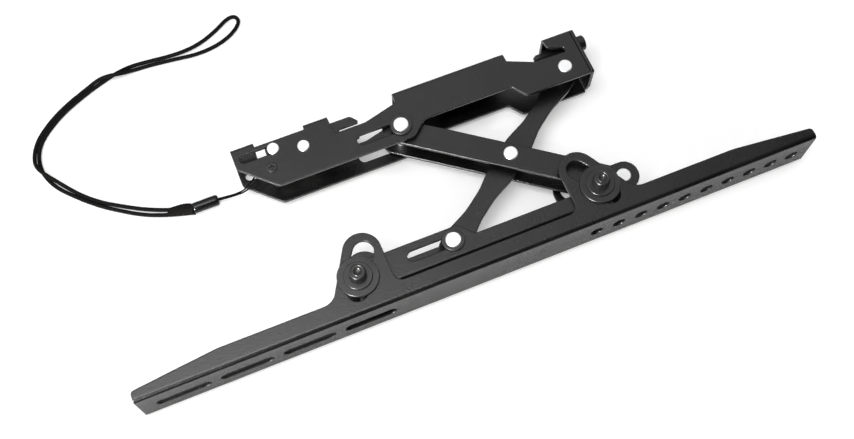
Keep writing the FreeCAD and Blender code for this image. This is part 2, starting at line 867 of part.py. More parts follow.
def make_height_screw():
    tip = size("screw_tip_x")
    head_from = size("screw_head_x") - tip
    head_to = head_from + size("screw_head_height")
    shank = size("screw_radius")
    head = size("screw_head_radius")
    point = size("screw_point_radius")
    point_length = size("screw_point_length")
    turned("height_screw", [
        (0, 0),
        (point, 0),
        (point, point_length),
        (shank - 0.4, point_length),
        (shank, point_length + 0.6),
        (shank, head_from),
        (head, head_from),
        (head, head_to - 0.6),
        (head - 0.6, head_to),
        (0, head_to),
    ], tip, back - size("screw_drop"), 0.0, True)


# A round cord along straight runs joined by tangent arcs; prints the radii it takes.
def make_cord(label, points, radius):
    corners = [Vector(latch_pin_x + along, latch_pin_y + up, z) for along, up, z in points]
    edges = []
    radii = []
    length = 0.0
    last = corners[0]
    for before, corner, after in zip(corners, corners[1:], corners[2:]):
        back = before - corner
        ahead = after - corner
        reach = 0.45 * min(back.Length, ahead.Length)
        half_turn = (math.pi - back.getAngle(ahead)) / 2
        bend = reach / math.tan(half_turn)
        start = corner + back * (reach / back.Length)
        end = corner + ahead * (reach / ahead.Length)
        inward = (start + end) / 2 - corner
        middle = corner + inward * ((bend / math.cos(half_turn) - bend) / inward.Length)
        edges.append(Part.LineSegment(last, start).toShape())
        edges.append(Part.Arc(start, middle, end).toShape())
        length += (start - last).Length + 2 * bend * half_turn
        radii.append(round(bend, 1))
        last = end
    edges.append(Part.LineSegment(last, corners[-1]).toShape())
    length += (corners[-1] - last).Length
    along = corners[1] - corners[0]
    section = Part.Wire(Part.makeCircle(radius, corners[0], along))
    tube = Part.Wire(edges).makePipeShell([section], True, False)
    expected = math.pi * radius ** 2 * length
    if abs(tube.Volume - expected) > 0.02 * expected:
        raise RuntimeError(label + ": the cord's volume does not match its length")
    cord = doc.addObject("Part::Feature", label)
    cord.Label = label
    cord.Shape = tube
    sub_parts.append(cord)
    print(label, "length", round(length, 1), "bend radii", radii)


# The cord's points are chosen by hand and given from the latch's pin. It lies slack on
# the surface beside the arm: out from the sleeve, round its own end and back, crossing
# itself twice.
def make_lanyard():
    ground = -rail_half - face_gap - size("pin_head_height")
    sleeve_x = latch_pin_x + size("sleeve_from_pin")
    sleeve_y = latch_pin_y - size("sleeve_below_pin")
    sleeve_z = ground + size("sleeve_radius")
    make_cord("lanyard_loop", [
        (-42.3, -7.2, sleeve_z),
        (-36.7, -7.6, -13.8),
        (-31.2, -9.0, -11.5),
        (-24.7, -10.6, -8.0),
        (-17.2, -8.6, -4.6),
        (-9.5, -5.2, -2.2),
        (-3.4, -3.5, -1.0),
        (3.6, -3.5, -0.5),
        (3.6, 3.5, -0.5),
        (-3.4, 3.5, -0.8),
        (-9.2, 0.4, -2.0),
        (-17.2, -4.4, -3.8),
        (-24.7, -8.3, -7.6),
        (-31.2, -7.6, -11.3),
        (-36.7, -6.3, -13.7),
        (-42.3, -6.0, sleeve_z),
    ], size("loop_radius"))
    sleeve = doc.addObject("Part::Cylinder", "lanyard_sleeve")
    sleeve.setExpression("Radius", "Sizes.sleeve_radius")
    sleeve.setExpression("Height", "Sizes.sleeve_length")
    lean = FreeCAD.Rotation(Vector(0, 1, 0), -90)
    sleeve.Placement = FreeCAD.Placement(Vector(sleeve_x, sleeve_y, sleeve_z), lean)
    sub_parts.append(sleeve)
    low = ground + size("strap_radius")
    rise = low + 1.5
    over = low + 3.8
    make_cord("lanyard_strap", [
        (-58.1, -8.1, low),
        (-68.2, -5.2, low),
        (-78.7, -1.7, low),
        (-89.7, 3.3, low),
        (-101.2, 10.8, low),
        (-113.2, 19.8, low),
        (-124.7, 30.8, low),
        (-134.2, 41.8, low),
        (-138.7, 52.3, low),
        (-139.2, 61.3, low),
        (-137.2, 69.8, low),
        (-132.7, 76.8, low),
        (-126.2, 82.8, low),
        (-117.7, 89.3, low),
        (-107.7, 94.8, low),
        (-96.7, 99.8, low),
        (-86.7, 103.8, low),
        (-76.7, 107.3, low),
        (-66.2, 109.3, low),
        (-54.7, 108.8, low),
        (-40.7, 107.3, low),
        (-27.7, 107.3, low),
        (-15.7, 109.8, low),
        (-4.2, 115.3, low),
        (4.3, 120.8, low),
        (10.3, 121.3, low),
        (12.3, 115.8, low),
        (4.8, 108.3, low),
        (-7.2, 103.3, low),
        (-21.7, 101.6, low),
        (-36.7, 102.6, low),
        (-52.2, 104.0, low),
        (-66.7, 105.4, low),
        (-75.2, 104.8, over),
        (-79.7, 106.0, over),
        (-88.0, 108.4, rise),
        (-99.2, 104.1, low),
        (-110.2, 98.8, low),
        (-120.7, 93.3, low),
        (-129.7, 86.8, low),
        (-136.7, 79.3, low),
        (-141.5, 71.3, low),
        (-142.7, 63.3, low),
        (-140.7, 56.8, over),
        (-138.2, 51.8, over),
        (-130.9, 45.2, rise),
        (-121.5, 34.0, low),
        (-111.3, 23.2, low),
        (-99.5, 14.2, low),
        (-88.3, 6.8, low),
        (-77.3, 1.6, low),
        (-67.5, -2.0, low),
        (-58.1, -5.0, low),
    ], size("strap_radius"))


make_tv_rail()
make_tilt_bracket()
make_wall_channel()
make_outer_link()
make_inner_link()
make_pivots()
make_tilt_hardware()
make_latch()
make_height_screw()
make_lanyard()

# The frame of the finished part: its origin is at the bottom, in the middle.
drop = Vector(
    -(size("rail_low_end") + size("rail_high_end")) / 2,
    -size("channel_back") / 2,
    rail_half + face_gap + size("pin_head_height"),
)
for part in sub_parts:
    part.Placement.Base = part.Placement.Base + drop
doc.recompute()

for item in doc.Objects:
    if "Invalid" in item.State or "Error" in item.State:
        raise RuntimeError(item.Name + " failed")
for part in sub_parts:
    if part.Shape.isNull() or not part.Shape.isValid():
        raise RuntimeError(part.Label + " has no valid shape")
for part in sub_parts:
    part.Shape.exportStep("parts/" + part.Label + ".step")
    print(part.Label, round(part.Shape.Volume, 1), len(part.Shape.Solids))
print("arm angle", arm_angle, "length", arm_length, "drop", drop)
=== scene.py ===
import json
import math

import bmesh
import bpy
from mathutils import Matrix, Vector


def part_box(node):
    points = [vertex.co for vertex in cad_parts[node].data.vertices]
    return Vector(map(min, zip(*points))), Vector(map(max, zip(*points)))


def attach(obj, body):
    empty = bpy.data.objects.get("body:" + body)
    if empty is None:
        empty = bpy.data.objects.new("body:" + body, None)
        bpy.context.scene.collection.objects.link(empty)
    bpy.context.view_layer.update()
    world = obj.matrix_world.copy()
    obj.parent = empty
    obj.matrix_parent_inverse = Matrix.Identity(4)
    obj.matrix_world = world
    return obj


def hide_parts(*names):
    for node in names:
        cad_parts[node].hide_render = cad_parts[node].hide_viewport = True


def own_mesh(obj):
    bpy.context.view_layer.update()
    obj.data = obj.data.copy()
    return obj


# One arm of a tilting wall bracket, lying on its side, with its pull cord beside it.
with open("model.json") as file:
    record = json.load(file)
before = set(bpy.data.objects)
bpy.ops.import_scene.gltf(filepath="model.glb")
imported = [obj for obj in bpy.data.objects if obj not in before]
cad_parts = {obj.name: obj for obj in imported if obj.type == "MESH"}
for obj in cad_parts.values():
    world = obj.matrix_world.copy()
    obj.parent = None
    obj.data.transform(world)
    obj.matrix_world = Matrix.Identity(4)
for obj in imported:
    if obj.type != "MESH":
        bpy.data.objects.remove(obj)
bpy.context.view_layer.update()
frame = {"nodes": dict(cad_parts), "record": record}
scene = bpy.context.scene
nodes = frame["nodes"]
millimetre = 0.001
# The cord's points are in the arm's own millimetres; this moves them to the frame.
armShift = Vector((69.25, -64.7, 18.0))


def toFrame(point):
    return (Vector(point) + armShift) * millimetre


camera = {
    "lens": 44.28,
    "sensorWidth": 36,
    "nearest": 0.01,
    "location": (-0.12046, -0.24722, 0.60575),
    "turn": (22.939, -0.287, -22.444),
}


def makeCamera():
    data = bpy.data.cameras.new("photoCamera")
    data.lens = camera["lens"]
    data.sensor_width = camera["sensorWidth"]
    data.clip_start = camera["nearest"]
    holder = bpy.data.objects.new("photoCamera", data)
    holder.location = camera["location"]
    holder.rotation_euler = [math.radians(angle) for angle in camera["turn"]]
    scene.collection.objects.link(holder)
    scene.camera = holder


makeCamera()
print("stage: camera")

cord = {
    "radius": 1.3, "loopRadius": 0.5, "length": 0.582, "loopLength": 0.105,
    "order": 3, "smoothness": 6, "roundness": 4,
    "low": -16.7, "rise": -15.2, "over": -12.9, "sleeve": -14.7,
}
low = cord["low"]
rise = cord["rise"]
over = cord["over"]
strapRoute = [
    (-221.4, 112.1, low),
    (-231.5, 115.0, low),
    (-242.0, 118.5, low),
    (-253.0, 123.5, low),
    (-264.5, 131.0, low),
    (-276.3, 139.7, low),
    (-288.1, 151.1, low),
    (-297.8, 162.2, low),
    (-302.6, 173.1, low),
    (-303.3, 182.4, low),
    (-301.3, 191.0, low),
    (-297.0, 197.9, low),
    (-290.5, 204.0, low),
    (-281.9, 210.6, low),
    (-271.7, 216.1, low),
    (-260.6, 221.1, low),
    (-250.4, 224.9, low),
    (-240.3, 228.2, low),
    (-229.6, 229.8, low),
    (-218.0, 229.0, low),
    (-204.0, 227.5, low),
    (-191.0, 227.5, low),
    (-179.0, 230.0, low),
    (-167.5, 235.5, low),
    (-159.0, 241.0, low),
    (-153.0, 241.5, low),
    (-151.0, 236.0, low),
    (-158.5, 228.5, low),
    (-170.5, 223.5, low),
    (-185.0, 221.8, low),
    (-200.0, 223.8, low),
    (-215.4, 225.6, low),
    (-230.1, 226.2, low),
    (-238.6, 224.6, over),
    (-243.3, 225.7, over),
    (-251.1, 227.3, rise),
    (-262.2, 223.4, low),
    (-273.3, 218.5, low),
    (-283.6, 212.8, low),
    (-292.4, 206.2, low),
    (-299.5, 199.3, low),
    (-303.9, 191.8, low),
    (-305.9, 184.3, low),
    (-304.6, 177.7, over),
    (-301.8, 172.2, over),
    (-295.4, 164.4, rise),
    (-286.3, 152.7, low),
    (-275.2, 141.9, low),
    (-263.0, 133.9, low),
    (-251.6, 127.0, low),
    (-240.6, 121.8, low),
    (-230.8, 118.2, low),
    (-221.4, 115.2, low),
]
loopRoute = [
    (-205.6, 113.8, cord["sleeve"]),
    (-200.0, 112.9, -13.8),
    (-194.5, 111.3, -11.5),
    (-188.0, 109.6, -8.0),
    (-180.5, 111.6, -4.6),
    (-172.8, 115.0, -2.2),
    (-166.7, 116.7, -1.0),
    (-159.7, 116.7, -0.5),
    (-159.7, 123.7, -0.5),
    (-166.7, 123.7, -0.8),
    (-172.5, 120.6, -2.0),
    (-180.5, 113.9, -3.8),
    (-188.0, 110.7, -7.6),
    (-194.5, 112.1, -11.3),
    (-200.0, 113.8, -13.7),
    (-205.6, 114.8, cord["sleeve"]),
]


# The points that a curve passes through, as its own spline draws them.
def smoothPath(data):
    probe = bpy.data.objects.new("probe", data.copy())
    bare = bpy.data.meshes.new_from_object(probe)
    path = [vertex.co.copy() for vertex in bare.vertices]
    line = probe.data
    bpy.data.meshes.remove(bare)
    bpy.data.objects.remove(probe)
    bpy.data.curves.remove(line)
    return path


# A cord, and the points that its spline passes through.
def makeCord(name, route, radius, node):
    data = bpy.data.curves.new(name, "CURVE")
    data.dimensions = "3D"
    line = data.splines.new("NURBS")
    line.points.add(len(route) - 1)
    # Each point's own radius, in metres, makes the thickness: Blender adds it to the curve's box.
    for point, place in zip(line.points, route):
        point.co = (*toFrame(place), 1)
        point.radius = radius * millimetre
    line.order_u = cord["order"]
    line.use_endpoint_u = True
    line.resolution_u = cord["smoothness"]
    path = smoothPath(data)
    piece = bpy.data.objects.new(name, data)
    scene.collection.objects.link(piece)
    data.bevel_depth = 1.0
    data.bevel_resolution = cord["roundness"]
    data.use_fill_caps = True
    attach(piece, "latch")
    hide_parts(node)
    return piece, path


# A ring of vertices square to a direction, made wider across or lower by two factors.
def addRing(shape, centre, direction, radius, segments, wide=1.0, high=1.0):
    turn = Vector(direction).to_track_quat("Z", "Y").to_matrix().to_4x4()
    place = Matrix.Translation(centre) @ turn @ Matrix.Diagonal((wide, high, 1, 1))
    made = bmesh.ops.create_circle(shape, cap_ends=False, segments=segments, radius=radius, matrix=place)
    return made["verts"]


def ringEdges(verts):
    inside = set(verts)
    return list({edge for vert in verts for edge in vert.link_edges if edge.other_vert(vert) in inside})


# Skins a row of rings into one closed body.
def skinRings(shape, rings):
    loops = [ringEdges(ring) for ring in rings]
    for first, second in zip(loops, loops[1:]):
        bmesh.ops.bridge_loops(shape, edges=first + second)
    for end in (loops[0], loops[-1]):
        bmesh.ops.contextual_create(shape, geom=end)


def finishPiece(name, shape, body, replaced=None, crease=35.0):
    bmesh.ops.recalc_face_normals(shape, faces=shape.faces[:])
    mesh = bpy.data.meshes.new(name)
    shape.to_mesh(mesh)
    shape.free()
    mesh.shade_smooth()
    mesh.set_sharp_from_angle(angle=math.radians(crease))
    piece = bpy.data.objects.new(name, mesh)
    scene.collection.objects.link(piece)
    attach(piece, body)
    if replaced:
        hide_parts(replaced)
    return piece


sleeve = {
    "segments": 40,
    # distance along from its right end, radius
    "profile": [
        (0.0, 1.5), (0.05, 2.35), (0.35, 2.95), (0.9, 3.3), (1.8, 3.48), (6.0, 3.5),
        (11.0, 3.48), (15.4, 3.48), (16.1, 3.35), (16.5, 3.05), (16.6, 2.5),
    ],
    "right": (-205.2, 114.3),
}


def makeSleeve():
    shape = bmesh.new()
    rings = []
    for along, radius in sleeve["profile"]:
        centre = toFrame((sleeve["right"][0] - along, sleeve["right"][1], cord["sleeve"]))
        rings.append(addRing(shape, centre, (-1, 0, 0), radius * millimetre, sleeve["segments"]))
    skinRings(shape, rings)
    return finishPiece("cordSleeve", shape, "latch", "lanyard_sleeve")


gather = {
    "stations": 19, "reach": 17.0, "segments": 28, "ridge": 0.07,
    # height over the cord's radius at the sleeve, and how much of it is lost along the reach
    "fullHeight": 1.85, "heightLoss": 0.8, "floorGap": 0.1, "crease": 80,
    # share of the reach, widening, shift to the back in millimetres
    "outline": [
        (0.0, 0.98, 0.7), (0.12, 1.3, 1.0), (0.35, 1.34, 1.1),
        (0.6, 1.18, 0.8), (0.85, 1.0, 0.2), (1.0, 0.9, 0.0),
    ],
}


# The woven pouch that draws both runs of the cord together behind the sleeve.
def makeGather(path):
    runs = [path, path[::-1]]
    tables = []
    for run in runs:
        walked = [0.0]
        for before, after in zip(run, run[1:]):
            walked.append(walked[-1] + (after - before).length)
        tables.append(walked)

    def pointAt(which, distance):
        run = runs[which]
        walked = tables[which]
        index = next(number for number, value in enumerate(walked) if value >= distance)
        index = max(index, 1)
        share = (distance - walked[index - 1]) / (walked[index] - walked[index - 1])
        return run[index - 1].lerp(run[index], share)

    def outlineAt(share):
        outline = gather["outline"]
        index = next(number for number in range(1, len(outline)) if outline[number][0] >= share)
        before, after = outline[index - 1], outline[index]
        part = (share - before[0]) / (after[0] - before[0])
        return [first + (second - first) * part for first, second in zip(before[1:], after[1:])]

    shape = bmesh.new()
    rings = []
    last = gather["stations"] - 1
    for station in range(gather["stations"]):
        share = station / last
        distance = share * gather["reach"] * millimetre
        first = pointAt(0, distance)
        second = pointAt(1, distance)
        beyond = distance + millimetre
        ahead = pointAt(0, beyond) + pointAt(1, beyond) - first - second
        apart = (first - second).length / 2 + cord["radius"] * millimetre
        ripple = 1 + gather["ridge"] * (1 if station % 2 else -1)
        swell, shift = outlineAt(share)
        across = apart * ripple * swell
        fullness = gather["fullHeight"] - share * gather["heightLoss"]
        height = cord["radius"] * millimetre * ripple * fullness
        centre = (first + second) / 2 + Vector((0, shift * millimetre, 0))
        centre.z = max(centre.z, height + gather["floorGap"] * millimetre)
        rings.append(addRing(shape, centre, ahead, across, gather["segments"], 1.0, height / across))
    skinRings(shape, rings)
    piece = finishPiece("gatheredWeave", shape, "latch", crease=gather["crease"])
    level = piece.modifiers.new("softFolds", "SUBSURF")
    level.levels = 1
    level.render_levels = 1
    return piece


pullCord, cordPath = makeCord("pullCord", strapRoute, cord["radius"], "lanyard_strap")
pinLoop = makeCord("pinLoop", loopRoute, cord["loopRadius"], "lanyard_loop")[0]
cordSleeve = makeSleeve()
gatheredWeave = makeGather(cordPath)
print("stage: pull cord")

studio = {
    "floorColour": (0.84, 0.84, 0.84, 1),
    "floorHalf": 3.0,
    "floorDrop": -0.0002,
    "floorLift": 0.3,
    "worldStrength": 0.42,
    "flagColour": (0.002, 0.002, 0.002, 1),
    "flags": {
        # half width, half height, place, tilt and turn in degrees
        "highFlag": (0.8, 0.42, (0.25, -0.62, 0.66), 35.0, 0.0),
        "lowFlag": (0.8, 0.3, (0.25, -0.50, 0.12), 80.0, 0.0),
        "floorFlag": (0.8, 0.3, (0.25, -0.405, 0.001), 0.0, 0.0),
        "footFlag": (0.3, 0.0008, (0.0, -0.067, 0.0006), 0.0, 0.0),
        "secondFootFlag": (0.3, 0.0016, (0.0, -0.0722, 0.0006), 0.0, 0.0),
        "sideFlag": (0.5, 0.45, (1.12, 0.05, 1.2), 0.0, 0.0),
        "leftFlag": (1.2, 0.3, (-1.15, 0.1, 0.22), 90.0, 90.0),
        "rightFlag": (1.2, 0.3, (1.15, 0.1, 0.22), 90.0, 90.0),
        "backFlag": (1.2, 0.3, (0.0, 1.05, 0.22), 90.0, 0.0),
    },
}
lamps = {
    "overheadSoftbox": {
        "power": 7.0, "size": (0.85, 0.5), "colour": (1, 1, 1),
        "place": (-0.4, 0.06, 1.15), "aim": (-0.4, 0.06, 0),
    },
    "frontStrip": {
        "power": 2.6, "size": (0.86, 0.06), "colour": (1, 1, 1),
        "place": (-0.33, -0.25, 1.15), "aim": (-0.33, -0.25, 0),
    },
    "leftStrip": {
        "power": 6.0, "size": (0.2, 0.2), "colour": (1, 0.98, 0.96),
        "place": (-0.68, -0.70, 0.44), "aim": (0, 0, 0),
    },
    # lights no surface but shows in polished edges
    "edgeGlint": {
        "power": 55.0, "size": (0.24, 0.24), "colour": (1, 1, 1),
        "place": (-0.74, -0.64, 0.46), "aim": (0, 0, 0), "glossyOnly": True,
    },
}


def makeLamp(name, power, size, colour, place, aim, glossyOnly=False):
    data = bpy.data.lights.new(name, "AREA")
    data.energy = power
    data.shape = "RECTANGLE"
    data.size, data.size_y = size
    data.color = colour
    lamp = bpy.data.objects.new(name, data)
    lamp.location = place
    lamp.rotation_euler = (Vector(aim) - Vector(place)).to_track_quat("-Z", "Y").to_euler()
    lamp.visible_diffuse = not glossyOnly
    scene.collection.objects.link(lamp)


# One for rays that see the background directly, in a mirror or through glass.
def backgroundRays(tree):
    path = tree.nodes.new("ShaderNodeLightPath")
    total = path.outputs["Is Camera Ray"]
    for label in ("Is Glossy Ray", "Is Transmission Ray"):
        either = tree.nodes.new("ShaderNodeMath")
        either.operation = "MAXIMUM"
        tree.links.new(total, either.inputs[0])
        tree.links.new(path.outputs[label], either.inputs[1])
        total = either.outputs[0]
    return total


def makeWorld():
    world = bpy.data.worlds.new("studio")
    scene.world = world
    world.use_nodes = True
    tree = world.node_tree
    tree.nodes.clear()
    output = tree.nodes.new("ShaderNodeOutputWorld")
    light = tree.nodes.new("ShaderNodeBackground")
    light.inputs["Color"].default_value = (1, 1, 1, 1)
    light.inputs["Strength"].default_value = studio["worldStrength"]
    white = tree.nodes.new("ShaderNodeBackground")
    white.inputs["Color"].default_value = (1, 1, 1, 1)
    white.inputs["Strength"].default_value = 1.0
    mix = tree.nodes.new("ShaderNodeMixShader")
    tree.links.new(backgroundRays(tree), mix.inputs["Fac"])
    tree.links.new(light.outputs[0], mix.inputs[1])
    tree.links.new(white.outputs[0], mix.inputs[2])
    tree.links.new(mix.outputs[0], output.inputs["Surface"])


def newMaterial(name):
    material = bpy.data.materials.new(name)
    material.use_nodes = True
    tree = material.node_tree
    return material, tree, tree.nodes["Principled BSDF"]


def makeStagePlane(name, size, place, colour):
    shape = bmesh.new()
    bmesh.ops.create_grid(shape, x_segments=1, y_segments=1, size=size)
    mesh = bpy.data.meshes.new(name)
    shape.to_mesh(mesh)
    shape.free()
    plane = bpy.data.objects.new(name, mesh)
    plane.location = place
    scene.collection.objects.link(plane)
    material, tree, surface = newMaterial(name)
    surface.inputs["Base Color"].default_value = colour
    surface.inputs["Roughness"].default_value = 1.0
    surface.inputs["Specular IOR Level"].default_value = 0.0
    mesh.materials.append(material)
    return plane, tree, surface


def makeFloor():
    floor, tree, surface = makeStagePlane(
        "paleFloor", studio["floorHalf"], (0, 0, studio["floorDrop"]), studio["floorColour"])
    lift = tree.nodes.new("ShaderNodeEmission")
    lift.inputs["Strength"].default_value = studio["floorLift"]
    lifted = tree.nodes.new("ShaderNodeAddShader")
    mix = tree.nodes.new("ShaderNodeMixShader")
    tree.links.new(surface.outputs[0], lifted.inputs[0])
    tree.links.new(lift.outputs[0], lifted.inputs[1])
    tree.links.new(backgroundRays(tree), mix.inputs["Fac"])
    tree.links.new(surface.outputs[0], mix.inputs[1])
    tree.links.new(lifted.outputs[0], mix.inputs[2])
    tree.links.new(mix.outputs[0], tree.nodes["Material Output"].inputs["Surface"])


# A black card in front of the arm, which only reflections see.
def makeFlag(name, halfWidth, halfHeight, place, tilt, turn):
    flag = makeStagePlane(name, 1.0, place, studio["flagColour"])[0]
    flag.scale = (halfWidth, halfHeight, 1)
    flag.rotation_euler = (math.radians(tilt), 0, math.radians(turn))
    flag.visible_camera = False
    flag.visible_diffuse = False
    flag.visible_transmission = False
    flag.visible_shadow = False


makeWorld()
makeFloor()
for name, values in studio["flags"].items():
    makeFlag(name, *values)
for name, values in lamps.items():
    makeLamp(name, **values)
scene.view_settings.view_transform = "Standard"
print("stage: floor and lights")


def newGroup(name, inputs, outputs):
    tree = bpy.data.node_groups.new(name, "ShaderNodeTree")
    for label, value in inputs.items():
        socket = tree.interface.new_socket(label, in_out="INPUT", socket_type="NodeSocketFloat")
        socket.default_value = value
    for label in outputs:
        kind = "NodeSocketVector" if label == "Normal" else "NodeSocketFloat"
        tree.interface.new_socket(label, in_out="OUTPUT", socket_type=kind)
    return tree, tree.nodes.new("NodeGroupInput"), tree.nodes.new("NodeGroupOutput")


def placeGroup(tree, group, **values):
    holder = tree.nodes.new("ShaderNodeGroup")
    holder.node_tree = group
    for label, value in values.items():
        holder.inputs[label].default_value = value
    return holder


# One maths node; a number becomes a socket's value and a socket is linked.
def reckon(tree, operation, *terms, clamp=False):
    node = tree.nodes.new("ShaderNodeMath")
    node.operation = operation
    node.use_clamp = clamp
    for socket, term in zip(node.inputs, terms):
        if isinstance(term, (int, float)):
            socket.default_value = term
        else:
            tree.links.new(term, socket)
    return node.outputs[0]


def noise(tree, vector, scale, detail=3.0, roughness=0.6):
    node = tree.nodes.new("ShaderNodeTexNoise")
    node.inputs["Detail"].default_value = detail
    node.inputs["Roughness"].default_value = roughness
    if isinstance(scale, (int, float)):
        node.inputs["Scale"].default_value = scale
    else:
        tree.links.new(scale, node.inputs["Scale"])
    tree.links.new(vector, node.inputs["Vector"])
    return node.outputs[0]


grain = {
    "fleckSize": 0.3, "fleckEdge": 5.0, "fleckChance": 0.5, "chanceEdge": 6.0,
    "cloudDetail": 5.0, "cloudRoughness": 0.65, "fineShare": 0.7, "cellShare": 0.3,
}


# Baked powder: a fine pebbled height, small bright flecks and a slow change of shade.
def makeCoatGrain():
    tree, source, result = newGroup(
        "coatGrain", {"Grain": 1500.0, "Fleck": 1100.0, "Cloud": 16.0}, ["Height", "Flecks", "Shade"])
    place = tree.nodes.new("ShaderNodeTexCoord").outputs["Object"]
    fine = noise(tree, place, source.outputs["Grain"])
    cells = tree.nodes.new("ShaderNodeTexVoronoi")
    cells.feature = "F1"
    tree.links.new(place, cells.inputs["Vector"])
    tree.links.new(source.outputs["Fleck"], cells.inputs["Scale"])
    nearness = reckon(tree, "SUBTRACT", grain["fleckSize"], cells.outputs["Distance"])
    dots = reckon(tree, "MULTIPLY", nearness, grain["fleckEdge"], clamp=True)
    chance = noise(tree, place, source.outputs["Fleck"], 1.0)
    above = reckon(tree, "SUBTRACT", chance, grain["fleckChance"])
    chosen = reckon(tree, "MULTIPLY", above, grain["chanceEdge"], clamp=True)
    bright = reckon(tree, "MULTIPLY", dots, chosen)
    cloud = noise(tree, place, source.outputs["Cloud"], grain["cloudDetail"], grain["cloudRoughness"])
    finePart = reckon(tree, "MULTIPLY", fine, grain["fineShare"])
    cellPart = reckon(tree, "MULTIPLY", cells.outputs["Distance"], grain["cellShare"])
    pebble = reckon(tree, "ADD", finePart, cellPart)
    tree.links.new(pebble, result.inputs["Height"])
    tree.links.new(bright, result.inputs["Flecks"])
    tree.links.new(cloud, result.inputs["Shade"])
    return tree


edges = {"samples": 8, "rimGain": 3.5, "patchDetail": 4.0, "patchFrom": 0.35, "patchGain": 3.0}


# Sheet and screw edges: a rounded normal, and a mask of edges lightened in patches, partly rubbing from
# handling and partly painted highlight.
def makeEdgeWear():
    tree, source, result = newGroup(
        "edgeWear", {"Radius": 0.0005, "Wear": 1.0, "Patch": 140.0}, ["Normal", "Mask"])
    bevel = tree.nodes.new("ShaderNodeBevel")
    bevel.samples = edges["samples"]
    tree.links.new(source.outputs["Radius"], bevel.inputs["Radius"])
    flat = tree.nodes.new("ShaderNodeNewGeometry")
    facing = tree.nodes.new("ShaderNodeVectorMath")
    facing.operation = "DOT_PRODUCT"
    tree.links.new(bevel.outputs[0], facing.inputs[0])
    tree.links.new(flat.outputs["Normal"], facing.inputs[1])
    turned = reckon(tree, "SUBTRACT", 1.0, facing.outputs["Value"])
    rim = reckon(tree, "MULTIPLY", turned, edges["rimGain"], clamp=True)
    place = tree.nodes.new("ShaderNodeTexCoord").outputs["Object"]
    patch = noise(tree, place, source.outputs["Patch"], edges["patchDetail"])
    above = reckon(tree, "SUBTRACT", patch, edges["patchFrom"])
    lightenedPatches = reckon(tree, "MULTIPLY", above, edges["patchGain"], clamp=True)
    # The mask: partly rubbing from handling, partly painted highlight along the edges.
    wornAndHighlit = reckon(tree, "MULTIPLY", reckon(tree, "MULTIPLY", rim, lightenedPatches), source.outputs["Wear"])
    tree.links.new(bevel.outputs[0], result.inputs["Normal"])
    tree.links.new(wornAndHighlit, result.inputs["Mask"])
    return tree


weaving = {"fuzzScale": 900.0, "fuzzDetail": 2.0, "fuzzShare": 0.35}


# Two sets of strands that cross over each other, along a cord's own UV map.
def makeBraid():
    tree, source, result = newGroup("braid", {"Turns": 110.0, "Strands": 4.0}, ["Height", "Shade"])
    coordinates = tree.nodes.new("ShaderNodeTexCoord")
    parts = tree.nodes.new("ShaderNodeSeparateXYZ")
    tree.links.new(coordinates.outputs["UV"], parts.inputs[0])
    along = reckon(tree, "MULTIPLY", parts.outputs["X"], source.outputs["Turns"])
    around = reckon(tree, "MULTIPLY", parts.outputs["Y"], source.outputs["Strands"])
    fullTurn = 2 * math.pi
    waves = []
    for way in ("ADD", "SUBTRACT"):
        phase = reckon(tree, "MULTIPLY", reckon(tree, way, along, around), fullTurn)
        waves.append(reckon(tree, "SINE", phase))
    weave = reckon(tree, "MULTIPLY_ADD", reckon(tree, "MAXIMUM", *waves), 0.5, 0.5)
    fuzz = noise(tree, coordinates.outputs["Object"], weaving["fuzzScale"], weaving["fuzzDetail"])
    height = reckon(tree, "MULTIPLY_ADD", fuzz, weaving["fuzzShare"], weave)
    tree.links.new(height, result.inputs["Height"])
    tree.links.new(reckon(tree, "MULTIPLY", weave, fuzz), result.inputs["Shade"])
    return tree


coatGrain = makeCoatGrain()
edgeWear = makeEdgeWear()
braid = makeBraid()
print("stage: shader groups")


def blendColour(tree, first, second, share):
    mix = tree.nodes.new("ShaderNodeMix")
    mix.data_type = "RGBA"
    for label, colour in (("A", first), ("B", second)):
        if isinstance(colour, tuple):
            mix.inputs[label].default_value = colour
        else:
            tree.links.new(colour, mix.inputs[label])
    tree.links.new(share, mix.inputs["Factor"])
    return mix.outputs["Result"]


# A raised pattern; the bump's own Normal socket is left for what lies under it.
def addRelief(tree, surface, height, strength, distance):
    relief = tree.nodes.new("ShaderNodeBump")
    relief.inputs["Strength"].default_value = strength
    relief.inputs["Distance"].default_value = distance
    tree.links.new(height, relief.inputs["Height"])
    tree.links.new(relief.outputs[0], surface.inputs["Normal"])
    return relief


coating = {"contrast": 2.2, "middle": 0.5, "unevenness": 0.16, "polish": -0.12, "relief": 0.0002}


def makeFinish(name, colours, roughness, metallic, specular, bump, edge, rubAndHighlight, scales, fleckShare):
    material, tree, surface = newMaterial(name)
    surface.inputs["Metallic"].default_value = metallic
    surface.inputs["Specular IOR Level"].default_value = specular
    dark, light, wornAndHighlit = colours
    coat = placeGroup(tree, coatGrain, **scales)
    rims = placeGroup(tree, edgeWear, Radius=edge, Wear=rubAndHighlight)
    middle = coating["middle"]
    uneven = reckon(tree, "SUBTRACT", coat.outputs["Shade"], middle)
    shade = reckon(tree, "MULTIPLY_ADD", uneven, coating["contrast"], middle, clamp=True)
    flecked = reckon(tree, "MULTIPLY_ADD", coat.outputs["Flecks"], fleckShare, shade, clamp=True)
    colour = blendColour(tree, dark, light, flecked)
    # Edges lighten in patches: partly rubbing from handling, partly painted highlight.
    lightenedPatches = blendColour(tree, colour, wornAndHighlit, rims.outputs["Mask"])
    tree.links.new(lightenedPatches, surface.inputs["Base Color"])
    spread = coating["unevenness"]
    rough = reckon(tree, "MULTIPLY_ADD", coat.outputs["Shade"], spread, roughness - spread / 2)
    polished = reckon(tree, "MULTIPLY_ADD", rims.outputs["Mask"], coating["polish"], rough)
    tree.links.new(polished, surface.inputs["Roughness"])
    relief = addRelief(tree, surface, coat.outputs["Height"], bump, coating["relief"])
    tree.links.new(rims.outputs["Normal"], relief.inputs["Normal"])
    return material


